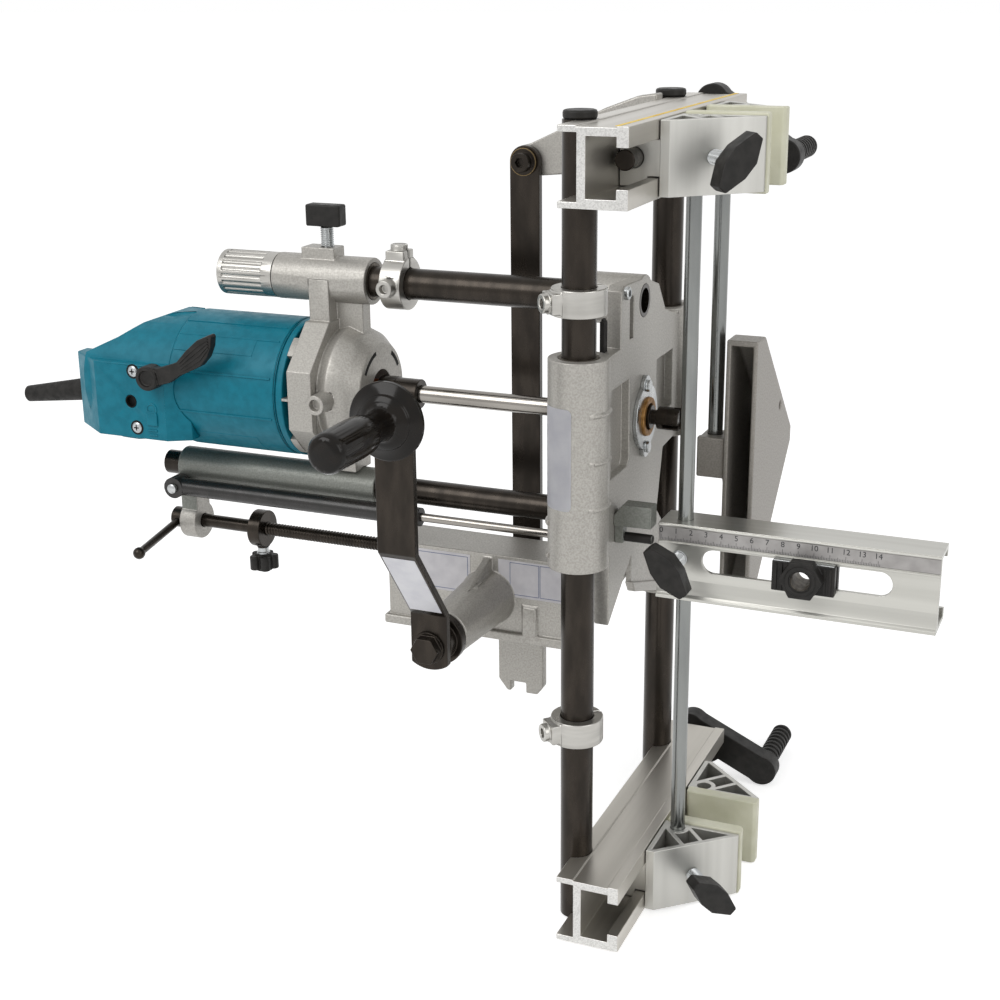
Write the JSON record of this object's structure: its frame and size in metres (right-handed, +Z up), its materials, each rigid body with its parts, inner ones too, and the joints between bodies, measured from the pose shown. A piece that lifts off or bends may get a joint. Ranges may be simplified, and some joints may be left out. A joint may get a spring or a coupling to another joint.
{
  "type": "lock mortiser",
  "caption": "Door lock mortiser: a plunging motor on a crank-driven carriage that runs on guide tubes between two rails with door clamps and a hole gauge.",
  "frame": {"origin": "on the plane of the door's edge, at the middle of the door's thickness, midway between the two rails", "axes": "+X into the door along the cutter, +Y across the door away from the crank, +Z up along the guide tubes"},
  "size_m": [0.7146, 0.455, 0.5363],
  "materials": {
    "anodised_aluminium": "satin",
    "silver_casting": "hammered silver",
    "zinc": "zinc plated",
    "bright_steel": "ground",
    "black_steel": "blackened",
    "black_plastic": "fine texture",
    "gloss_black": "glossy",
    "teal_plastic": "satin",
    "black_rubber": "matt",
    "bronze": "sintered",
    "pad_plastic": "matt",
    "grey_casting": "hammered grey",
    "lamination": "laminated",
    "winding": "varnished"
  },
  "bodies": {
    "frame": {"upper_rail": "anodised_aluminium", "lower_rail": "anodised_aluminium", "guide_tubes": "black_steel", "tube_caps": "black_plastic", "drive_bracket": "silver_casting", "pivot_bolt": "black_steel"},
    "link": {"connecting_bar": "black_steel"},
    "upper_stop": {"upper_stop_collar": "zinc"},
    "lower_stop": {"lower_stop_collar": "zinc"},
    "carriage": {"carriage_casting": "silver_casting", "crank_housing": "silver_casting", "guide_bushes": "bronze", "spindle_plate": "zinc", "spindle_bush": "bronze", "upper_guide_bar": "black_steel", "lower_guide_bar": "black_steel", "gas_spring_rod": "bright_steel", "index_bracket": "grey_casting"},
    "crank": {"crank_spindle": "black_steel", "crank_lever": "silver_casting", "crank_arm": "black_steel", "crank_bolt": "black_steel"},
    "crank_handle": {"crank_grip": "gloss_black"},
    "motor": {"motor_flange": "silver_casting", "lower_barrel": "grey_casting", "motor_housing": "teal_plastic", "switch_housing": "teal_plastic", "cable_boot": "black_rubber", "field_core": "lamination", "motor_bearings": "bright_steel", "carbon_brushes": "lamination", "slide_bushes": "bronze", "gas_spring_cylinder": "black_steel"},
    "spindle": {"armature": "winding", "cutter_shaft": "bright_steel", "cutter_head": "black_steel", "collet_nut": "black_steel"},
    "switch": {"switch_lever": "black_plastic"},
    "sleeve": {"fluted_sleeve": "zinc"},
    "lock": {"lock_knob": "black_plastic"},
    "depth_drive": {"depth_screw": "black_steel"},
    "depth_stop": {"depth_nut": "black_steel"},
    "depth_lock": {"depth_knob": "black_plastic"},
    "plunge_stop": {"plunge_collar": "zinc"},
    "front_clamp": {"front_jaws": "anodised_aluminium", "front_pads": "pad_plastic", "front_rod": "zinc"},
    "rear_clamp": {"rear_jaws": "anodised_aluminium", "rear_pads": "pad_plastic"},
    "upper_screw": {"upper_clamp_screw": "black_steel", "upper_clamp_crank": "black_plastic"},
    "lower_screw": {"lower_clamp_screw": "black_steel", "lower_clamp_crank": "black_plastic"},
    "upper_wing": {"upper_wing_knob": "black_plastic"},
    "lower_wing": {"lower_wing_knob": "black_plastic"},
    "gauge": {"gauge_rail": "anodised_aluminium"},
    "gauge_lock": {"gauge_knob": "black_plastic"},
    "gauge_slider": {"drill_slider": "black_plastic"},
    "backing": {"rear_rod": "zinc", "backing_plate": "grey_casting"}
  },
  "joints": [
    {"name": "carriage_travel", "type": "slide", "parent": "frame", "child": "carriage", "axis": [0, 0, 1], "range_m": [-0.104, 0]},
    {"name": "link_pivot", "type": "hinge", "parent": "frame", "child": "link", "pos_m": [-0.1355, 0.054, 0.222], "axis": [0, 1, 0], "range_deg": [-10.67, 0]},
    {"name": "crank_turn", "type": "hinge", "parent": "carriage", "child": "crank", "pos_m": [-0.1355, 0, -0.073], "axis": [0, 1, 0], "range_deg": [-115.7, 0]},
    {"name": "crank_grip_spin", "type": "hinge", "parent": "crank", "child": "crank_handle", "pos_m": [-0.1355, -0.2, 0.093], "axis": [0, 1, 0], "continuous": true},
    {"name": "upper_stop_slide", "type": "slide", "parent": "frame", "child": "upper_stop", "axis": [0, 0, 1], "range_m": [0, 0.05]},
    {"name": "lower_stop_slide", "type": "slide", "parent": "frame", "child": "lower_stop", "axis": [0, 0, 1], "range_m": [-0.08, 0]},
    {"name": "plunge", "type": "slide", "parent": "carriage", "child": "motor", "axis": [1, 0, 0], "range_m": [0, 0.104]},
    {"name": "cutter_spin", "type": "hinge", "parent": "motor", "child": "spindle", "pos_m": [-0.2, 0, 0.064], "axis": [1, 0, 0], "continuous": true},
    {"name": "switch_turn", "type": "hinge", "parent": "motor", "child": "switch", "pos_m": [-0.379, -0.056, 0.074], "axis": [0, 1, 0], "range_deg": [0, 60]},
    {"name": "sleeve_spin", "type": "hinge", "parent": "motor", "child": "sleeve", "pos_m": [-0.33, 0, 0.142], "axis": [1, 0, 0], "continuous": true},
    {"name": "lock_turn", "type": "hinge", "parent": "motor", "child": "lock", "pos_m": [-0.264, 0, 0.18], "axis": [0, 0, 1], "range_deg": [-90, 90]},
    {"name": "depth_screw_turn", "type": "hinge", "parent": "motor", "child": "depth_drive", "pos_m": [-0.38, 0, -0.053], "axis": [1, 0, 0], "range_deg": [-60, 230]},
    {"name": "depth_nut_slide", "type": "slide", "parent": "motor", "child": "depth_stop", "axis": [1, 0, 0], "range_m": [-0.026, 0]},
    {"name": "depth_knob_turn", "type": "hinge", "parent": "depth_stop", "child": "depth_lock", "pos_m": [-0.331, 0, -0.08], "axis": [0, 0, 1], "continuous": true},
    {"name": "plunge_collar_slide", "type": "slide", "parent": "carriage", "child": "plunge_stop", "axis": [1, 0, 0], "range_m": [0, 0.104]},
    {"name": "front_clamp_slide", "type": "slide", "parent": "frame", "child": "front_clamp", "axis": [0, 1, 0], "range_m": [-0.04, 0.005]},
    {"name": "rear_clamp_slide", "type": "slide", "parent": "frame", "child": "rear_clamp", "axis": [0, 1, 0], "range_m": [-0.005, 0.04]},
    {"name": "upper_screw_turn", "type": "hinge", "parent": "frame", "child": "upper_screw", "pos_m": [-0.01657, 0, 0.2415], "axis": [0, 1, 0], "range_deg": [-3600, 450]},
    {"name": "lower_screw_turn", "type": "hinge", "parent": "frame", "child": "lower_screw", "pos_m": [-0.01657, 0, -0.2415], "axis": [0, 1, 0], "range_deg": [-3600, 450]},
    {"name": "upper_wing_turn", "type": "hinge", "parent": "front_clamp", "child": "upper_wing", "pos_m": [0.011, -0.0325, 0.2415], "axis": [0.6703, -0.7421, 0], "continuous": true},
    {"name": "lower_wing_turn", "type": "hinge", "parent": "front_clamp", "child": "lower_wing", "pos_m": [0.011, -0.0325, -0.2415], "axis": [0.6703, -0.7421, 0], "continuous": true},
    {"name": "gauge_slide", "type": "slide", "parent": "front_clamp", "child": "gauge", "axis": [0, 0, 1], "range_m": [-0.15, 0.15]},
    {"name": "gauge_knob_turn", "type": "hinge", "parent": "gauge", "child": "gauge_lock", "pos_m": [0.011, -0.0325, -0.016], "axis": [0, -1, 0], "continuous": true},
    {"name": "drill_slide", "type": "slide", "parent": "gauge", "child": "gauge_slider", "axis": [1, 0, 0], "range_m": [-0.045, 0.034]},
    {"name": "backing_slide", "type": "slide", "parent": "rear_clamp", "child": "backing", "axis": [0, 0, 1], "range_m": [-0.035, 0.09]}
  ],
  "couplings": [
    {"joint": "crank_turn", "follows": "carriage_travel", "rad_per_m": 19.417},
    {"joint": "link_pivot", "follows": "carriage_travel", "rad_per_m": 1.7906},
    {"joint": "plunge_collar_slide", "follows": "plunge", "ratio": 1},
    {"joint": "rear_clamp_slide", "follows": "front_clamp_slide", "ratio": -1},
    {"joint": "upper_screw_turn", "follows": "front_clamp_slide", "rad_per_m": 1570.8},
    {"joint": "lower_screw_turn", "follows": "front_clamp_slide", "rad_per_m": 1570.8}
  ]
}
